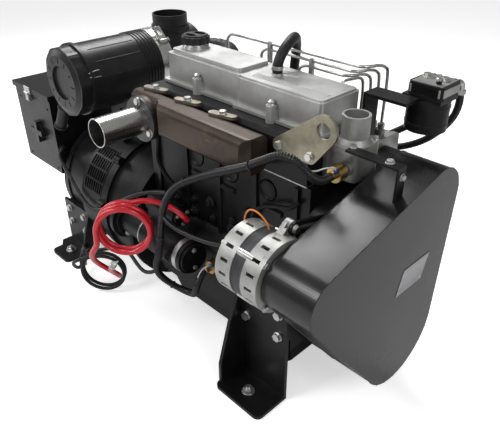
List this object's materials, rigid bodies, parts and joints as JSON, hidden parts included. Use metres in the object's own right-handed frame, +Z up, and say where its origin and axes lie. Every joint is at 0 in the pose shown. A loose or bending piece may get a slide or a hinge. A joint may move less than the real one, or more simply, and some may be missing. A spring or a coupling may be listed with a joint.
{
  "type": "marine diesel generator",
  "caption": "Marine diesel generating set on bolt-down feet, with a rear generator, control box, air cleaner, belt guard, exhaust pipe and hung cables.",
  "frame": {"origin": "floor level, midway between the four foot bolts", "axes": "+X along the crankshaft towards the belt guard, -Y towards the exhaust side, +Z up"},
  "size_m": [1.219, 0.6129, 0.6788],
  "materials": {
    "black_paint": "satin",
    "gloss_black": "gloss",
    "cast_aluminium": "sand cast",
    "rusted_iron": "dull, lightly rusted",
    "bright_steel": "bright",
    "yellow_zinc": "yellow zinc plated",
    "brass": "machined",
    "black_rubber": "matt",
    "black_plastic": "matt",
    "red_plastic": "gloss sheath",
    "windings": "varnished",
    "dark_iron": "machined and oiled"
  },
  "bodies": {
    "root": {"engine_block": "black_paint", "cylinder_head": "black_paint", "oil_pan": "black_paint", "front_cover": "black_paint", "rocker_cover": "cast_aluminium", "fasteners": "bright_steel", "oil_filler_neck": "bright_steel", "flywheel_housing": "black_paint", "drive_end_housing": "black_paint", "drive_end_grille": "black_paint", "generator_body": "black_paint", "generator_stator": "windings", "generator_end_cover": "black_paint", "foot_front_right": "black_paint", "foot_front_left": "black_paint", "foot_rear_right": "black_paint", "foot_rear_left": "black_paint", "exhaust_manifold": "rusted_iron", "manifold_clamps": "yellow_zinc", "exhaust_pipe": "bright_steel", "intake_manifold": "cast_aluminium", "intake_hose": "black_rubber", "air_cleaner_body": "black_plastic", "air_cleaner_cover": "black_plastic", "dust_valve": "black_rubber", "band_clamp": "bright_steel", "air_cleaner_bracket": "black_paint", "control_box": "black_paint", "control_box_lid": "black_paint", "thermostat_housing": "cast_aluminium", "thermostat_cover": "cast_aluminium", "guard_strap": "black_paint", "belt_guard": "gloss_black", "alternator_housings": "cast_aluminium", "alternator_stator": "windings", "adjuster_arm": "black_paint", "water_pump": "cast_aluminium", "drive_belt": "black_rubber", "starter_motor": "black_paint", "fuel_filter": "black_paint", "injection_pump": "cast_aluminium", "injection_lines": "bright_steel", "lifting_plate": "yellow_zinc", "senders": "brass", "oil_filter": "black_paint", "breather_hose": "black_rubber", "harness": "black_plastic", "red_cable": "red_plastic", "black_cable": "black_plastic"},
    "crank": {"crankshaft": "dark_iron", "crank_pulley": "black_paint", "flywheel": "dark_iron", "generator_rotor": "dark_iron"},
    "alternator_turn": {"alternator_rotor": "bright_steel"},
    "pump_turn": {"water_pump_pulley": "black_paint"},
    "filler_cap": {"oil_filler_cap": "black_plastic"},
    "dipstick_body": {"dipstick": "brass"},
    "lever": {"stop_lever": "bright_steel"},
    "latch": {"band_clamp_latch": "bright_steel"},
    "knob": {"control_knob": "black_plastic"}
  },
  "joints": [
    {"name": "crank_spin", "type": "hinge", "parent": "root", "child": "crank", "pos_m": [0, 0, 0.184], "axis": [1, 0, 0], "continuous": true},
    {"name": "alternator_spin", "type": "hinge", "parent": "root", "child": "alternator_turn", "pos_m": [0.436, -0.236, 0.394], "axis": [1, 0, 0], "continuous": true},
    {"name": "pump_spin", "type": "hinge", "parent": "root", "child": "pump_turn", "pos_m": [0.48, 0.03, 0.426], "axis": [1, 0, 0], "continuous": true},
    {"name": "filler_cap_turn", "type": "hinge", "parent": "root", "child": "filler_cap", "pos_m": [-0.002, 0.004, 0.63], "axis": [0, 0, 1], "range_deg": [0, 90]},
    {"name": "dipstick_pull", "type": "slide", "parent": "root", "child": "dipstick_body", "axis": [0, 0, 1], "range_m": [0, 0.2]},
    {"name": "stop_lever_turn", "type": "hinge", "parent": "root", "child": "lever", "pos_m": [0.3, 0.175, 0.478], "axis": [0, 1, 0], "range_deg": [0, 40]},
    {"name": "latch_turn", "type": "hinge", "parent": "root", "child": "latch", "pos_m": [-0.19021, 0.057, 0.58979], "axis": [0, 1, 0], "range_deg": [0, 110]},
    {"name": "knob_turn", "type": "hinge", "parent": "root", "child": "knob", "pos_m": [-0.521, -0.15, 0.317], "axis": [0, -1, 0], "range_deg": [0, 90]}
  ],
  "couplings": [
    {"joint": "alternator_spin", "follows": "crank_spin", "ratio": 2.3529},
    {"joint": "pump_spin", "follows": "crank_spin", "ratio": 1.4815}
  ]
}
